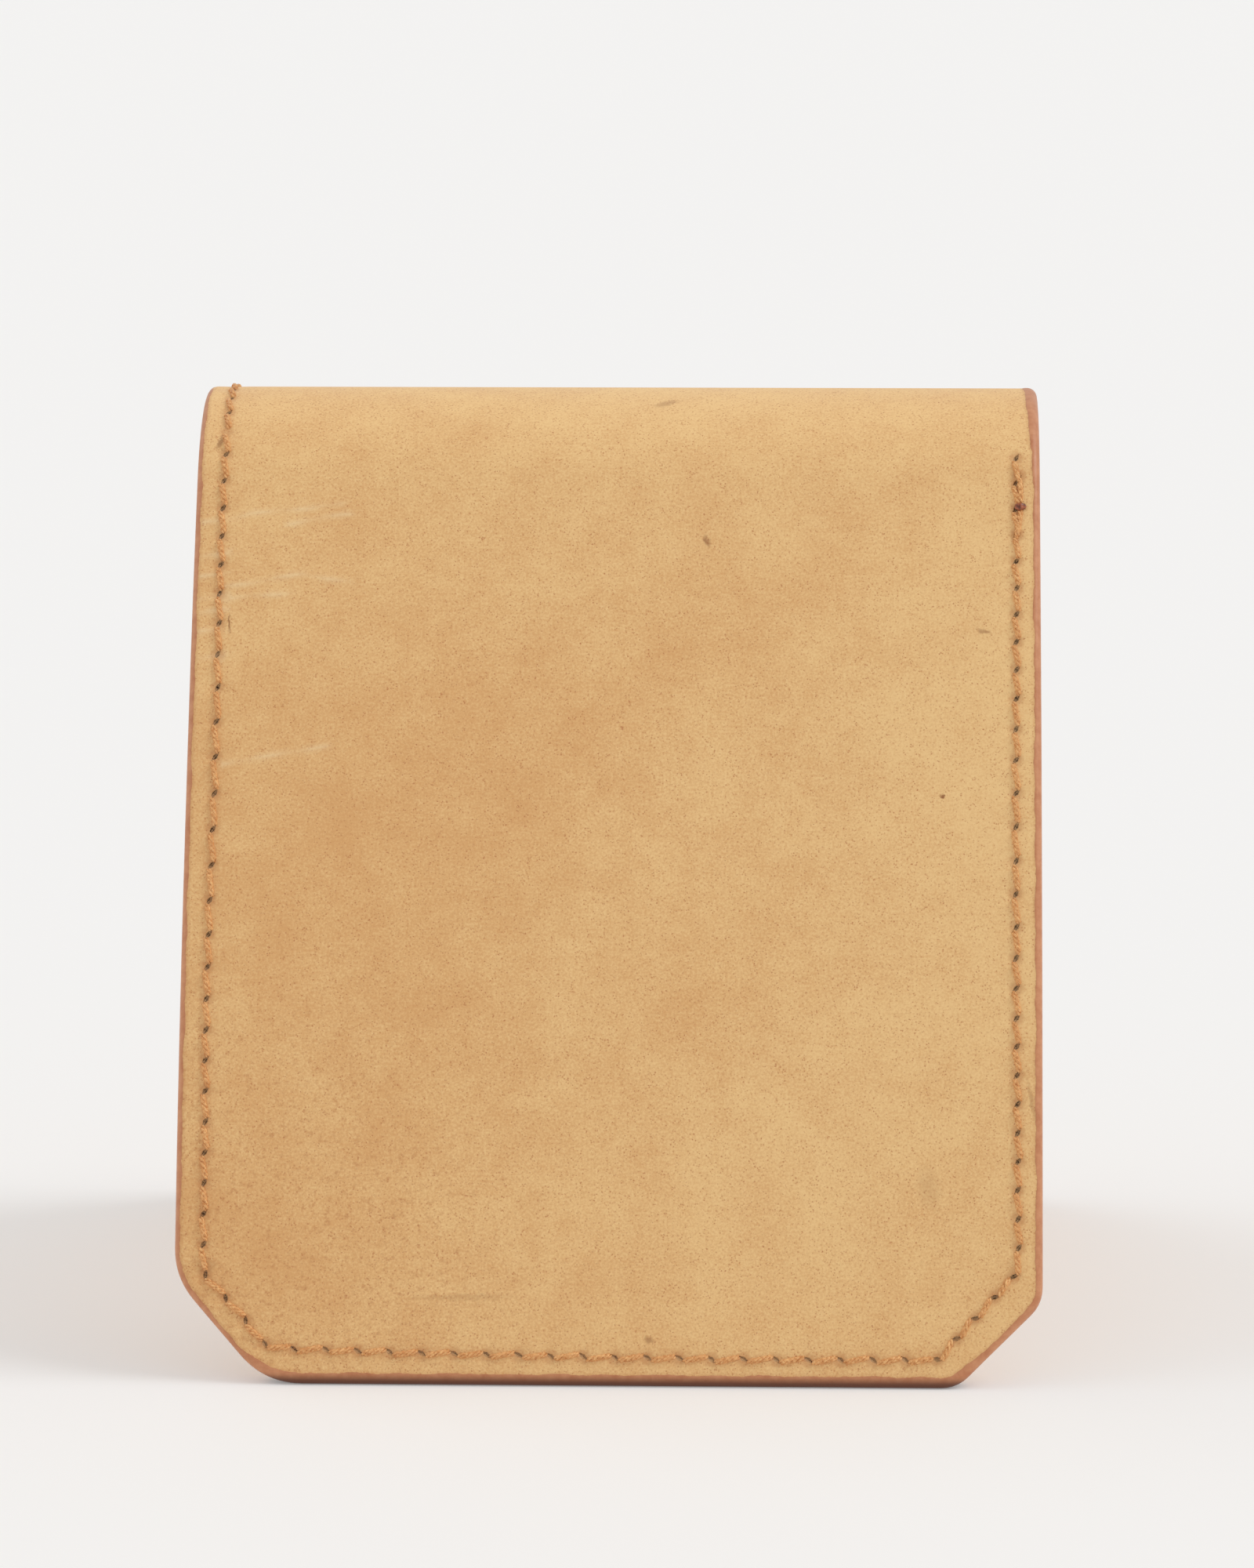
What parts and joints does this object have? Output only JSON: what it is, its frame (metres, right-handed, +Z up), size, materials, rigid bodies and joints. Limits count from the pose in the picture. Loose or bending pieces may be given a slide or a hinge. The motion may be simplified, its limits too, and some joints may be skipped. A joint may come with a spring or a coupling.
{
  "type": "card holder",
  "caption": "Bifold leather card holder standing on its open edges, with stitched rims, cut foot corners, a soft rounded fold and stepped card pockets inside.",
  "frame": {"origin": "on the surface it stands on, midway between the two feet and between the sides", "axes": "+Z up, +X along the fold to the right as seen from the front, -Y towards the front leaf"},
  "size_m": [0.095, 0.1036, 0.1053],
  "materials": {
    "shell_leather": "vegetable-tanned full grain, waxed, with darkened painted edges",
    "lining_leather": "thin vegetable-tanned leather, matte",
    "pocket_leather": "vegetable-tanned full grain, burnished mouths",
    "thread": "waxed twisted thread"
  },
  "bodies": {
    "fold_middle": {"fold_shell_3": "shell_leather", "fold_lining_3": "lining_leather", "fold_seam_3": "thread"},
    "fold_front_inner": {"fold_shell_4": "shell_leather", "fold_lining_4": "lining_leather", "fold_seam_4": "thread"},
    "fold_front_outer": {"fold_shell_5": "shell_leather", "fold_lining_5": "lining_leather", "fold_seam_5": "thread"},
    "fold_back_inner": {"fold_shell_2": "shell_leather", "fold_lining_2": "lining_leather", "fold_seam_2": "thread"},
    "fold_back_outer": {"fold_shell_1": "shell_leather", "fold_lining_1": "lining_leather", "fold_seam_1": "thread"},
    "front_leaf": {"front_shell": "shell_leather", "front_lining": "lining_leather", "front_upper_pocket": "pocket_leather", "front_middle_pocket": "pocket_leather", "front_lower_pocket": "pocket_leather", "front_upper_pocket_seam": "thread", "front_middle_pocket_seam": "thread", "front_seam": "thread"},
    "back_leaf": {"back_shell": "shell_leather", "back_lining": "lining_leather", "back_upper_pocket": "pocket_leather", "back_middle_pocket": "pocket_leather", "back_lower_pocket": "pocket_leather", "back_upper_pocket_seam": "thread", "back_middle_pocket_seam": "thread", "back_seam": "thread"}
  },
  "joints": [
    {"name": "front_bend_inner", "type": "hinge", "parent": "fold_middle", "child": "fold_front_inner", "pos_m": [0, -0.0031, 0.10494], "axis": [-1, 0, 0], "range_deg": [-8.3, 20.67]},
    {"name": "front_bend_middle", "type": "hinge", "parent": "fold_front_inner", "child": "fold_front_outer", "pos_m": [0, -0.0089, 0.10275], "axis": [-1, 0, 0], "range_deg": [-8.3, 20.67]},
    {"name": "front_bend_outer", "type": "hinge", "parent": "fold_front_outer", "child": "front_leaf", "pos_m": [0, -0.01355, 0.09866], "axis": [-1, 0, 0], "range_deg": [-8.3, 20.67]},
    {"name": "back_bend_inner", "type": "hinge", "parent": "fold_middle", "child": "fold_back_inner", "pos_m": [0, 0.0031, 0.10494], "axis": [1, 0, 0], "range_deg": [-8.3, 20.67]},
    {"name": "back_bend_middle", "type": "hinge", "parent": "fold_back_inner", "child": "fold_back_outer", "pos_m": [0, 0.0089, 0.10275], "axis": [1, 0, 0], "range_deg": [-8.3, 20.67]},
    {"name": "back_bend_outer", "type": "hinge", "parent": "fold_back_outer", "child": "back_leaf", "pos_m": [0, 0.01355, 0.09866], "axis": [1, 0, 0], "range_deg": [-8.3, 20.67]}
  ],
  "couplings": [
    {"joint": "front_bend_middle", "follows": "front_bend_inner", "ratio": 1},
    {"joint": "front_bend_outer", "follows": "front_bend_inner", "ratio": 1},
    {"joint": "back_bend_inner", "follows": "front_bend_inner", "ratio": 1},
    {"joint": "back_bend_middle", "follows": "front_bend_inner", "ratio": 1},
    {"joint": "back_bend_outer", "follows": "front_bend_inner", "ratio": 1}
  ]
}
